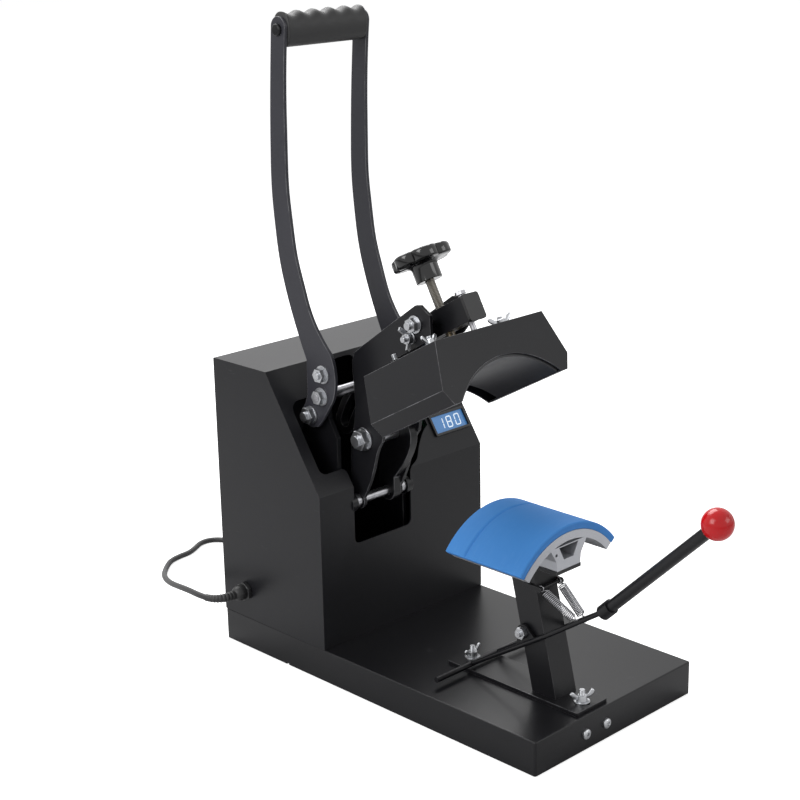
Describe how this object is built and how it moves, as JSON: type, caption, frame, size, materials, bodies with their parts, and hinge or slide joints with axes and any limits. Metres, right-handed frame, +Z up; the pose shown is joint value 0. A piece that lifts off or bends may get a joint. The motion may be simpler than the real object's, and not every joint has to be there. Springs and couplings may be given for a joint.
{
  "type": "cap heat press",
  "caption": "Bench-top cap heat press: a hinged handle swings a curved heated head down onto a curved blue pad, with a sprung cap lever, a pressure knob and a display.",
  "frame": {"origin": "on the table under the middle of the machine's length and of its base's width, mains lead left out", "axes": "+X to the operator's right, +Y to the back of the machine, +Z up"},
  "size_m": [0.3157, 0.8583, 0.6862],
  "materials": {
    "black_powder_coat": "satin powder coat, near black",
    "charcoal_powder_coat": "satin powder coat, charcoal",
    "zinc_fastener": "bright zinc plate",
    "bright_steel": "ground steel",
    "extruded_aluminium": "mill-finish extrusion",
    "coated_aluminium": "dark non-stick coating on aluminium",
    "blue_silicone": "matt silicone rubber, mid blue",
    "black_rubber": "matt black rubber",
    "grip_rubber": "moulded black rubber",
    "red_ball": "high-gloss red phenolic",
    "black_knob": "gloss black phenolic",
    "black_plastic": "matt black moulding",
    "lcd_glass": "backlit blue display window with pale digits",
    "board_green": "solder-masked circuit board",
    "key_grey": "grey key cap",
    "mica": "mica heater sheet",
    "ceramic_wool": "pressed ceramic fibre",
    "cord_sheath": "matt black flexible sheath",
    "brass_bearing": "turned brass"
  },
  "bodies": {
    "base": {"base_tray": "black_powder_coat", "floor_plate": "zinc_fastener", "rubber_feet": "black_rubber", "front_bracket": "zinc_fastener", "tray_screws": "zinc_fastener", "stand_studs": "zinc_fastener", "housing_shell": "charcoal_powder_coat", "back_cover": "charcoal_powder_coat", "housing_fasteners": "zinc_fastener", "frame_plate_left": "black_powder_coat", "frame_plate_right": "black_powder_coat", "arm_blocks": "black_powder_coat", "arm_shaft": "bright_steel", "handle_pivot_bolts": "zinc_fastener", "display_bezel": "black_plastic", "lcd_panel": "lcd_glass", "control_board": "board_green", "power_switch": "black_plastic", "mains_modules": "black_plastic", "cable_gland": "black_plastic", "power_cord": "cord_sheath", "cord_coil": "cord_sheath", "power_plug": "black_plastic"},
    "rocker": {"switch_rocker": "black_plastic"},
    "key_down": {"key_down": "key_grey"},
    "key_set": {"key_set": "key_grey"},
    "key_up": {"key_up": "key_grey"},
    "stand": {"stand_plate": "black_powder_coat", "stand_post": "black_powder_coat", "cradle_bracket": "black_powder_coat", "stand_fasteners": "zinc_fastener", "pad_cradle": "extruded_aluminium", "lower_pad": "blue_silicone", "lever_springs": "bright_steel"},
    "lever": {"lever_frame": "black_powder_coat", "lever_rod": "black_powder_coat", "lever_ball": "red_ball"},
    "handle": {"handle_bar_left": "charcoal_powder_coat", "handle_bar_right": "charcoal_powder_coat", "handle_grip": "grip_rubber", "grip_rod": "black_powder_coat", "cross_shaft": "bright_steel", "bar_nuts": "zinc_fastener", "stop_bolts": "zinc_fastener"},
    "arm": {"arm_plate_left": "charcoal_powder_coat", "arm_plate_right": "charcoal_powder_coat", "cam_plate": "black_powder_coat", "arm_cross_bolt": "zinc_fastener"},
    "carrier": {"carrier_tube": "charcoal_powder_coat", "tube_plugs": "black_plastic", "tilt_fasteners": "zinc_fastener"},
    "head": {"head_cover": "charcoal_powder_coat", "upper_platen": "coated_aluminium", "heating_element": "mica", "insulation": "ceramic_wool", "head_studs": "zinc_fastener", "head_wing_nuts": "zinc_fastener", "head_rear_nuts": "black_powder_coat", "guide_pins": "bright_steel", "screw_bearing": "brass_bearing"},
    "knob": {"pressure_screw": "bright_steel", "pressure_knob": "black_knob"}
  },
  "joints": [
    {"name": "handle_swing", "type": "hinge", "parent": "base", "child": "handle", "pos_m": [-0.031, 0.17865, 0.279], "axis": [1, 0, 0], "range_deg": [0, 60.74]},
    {"name": "arm_swing", "type": "hinge", "parent": "base", "child": "arm", "pos_m": [-0.031, 0.14265, 0.186], "axis": [1, 0, 0], "range_deg": [0, 40.5]},
    {"name": "head_tilt", "type": "hinge", "parent": "arm", "child": "carrier", "pos_m": [-0.031, 0.05366, 0.391], "axis": [-1, 0, 0], "range_deg": [0, 11.7]},
    {"name": "head_slide", "type": "slide", "parent": "carrier", "child": "head", "axis": [0, 0.4818, 0.8763], "range_m": [0, 0.004]},
    {"name": "knob_turn", "type": "hinge", "parent": "head", "child": "knob", "pos_m": [-0.031, 0.05244, 0.41472], "axis": [0, 0.4818, 0.8763], "range_deg": [0, 960.01]},
    {"name": "stand_slide", "type": "slide", "parent": "base", "child": "stand", "axis": [0, 1, 0], "range_m": [-0.006, 0.006]},
    {"name": "lever_swing", "type": "hinge", "parent": "stand", "child": "lever", "pos_m": [-0.031, -0.08035, 0.102], "axis": [1, 0, 0], "range_deg": [0, 18], "stiffness_Nm_per_rad": 2, "springref_deg": -17.19, "deforming": ["lever_springs"]},
    {"name": "switch_rock", "type": "hinge", "parent": "base", "child": "rocker", "pos_m": [0.06, 0.29465, 0.076], "axis": [1, 0, 0], "range_deg": [0, 18]},
    {"name": "key_down_press", "type": "slide", "parent": "base", "child": "key_down", "axis": [0, 0.8363, -0.5482], "range_m": [0, 0.001], "stiffness_N_per_m": 400, "springref_m": -0.001},
    {"name": "key_set_press", "type": "slide", "parent": "base", "child": "key_set", "axis": [0, 0.8363, -0.5482], "range_m": [0, 0.001], "stiffness_N_per_m": 400, "springref_m": -0.001},
    {"name": "key_up_press", "type": "slide", "parent": "base", "child": "key_up", "axis": [0, 0.8363, -0.5482], "range_m": [0, 0.001], "stiffness_N_per_m": 400, "springref_m": -0.001}
  ],
  "couplings": [
    {"joint": "arm_swing", "follows": "handle_swing", "ratio": 0.66667},
    {"joint": "head_tilt", "follows": "handle_swing", "ratio": 0.19254},
    {"joint": "knob_turn", "follows": "head_slide", "rad_per_m": 4188.8}
  ]
}
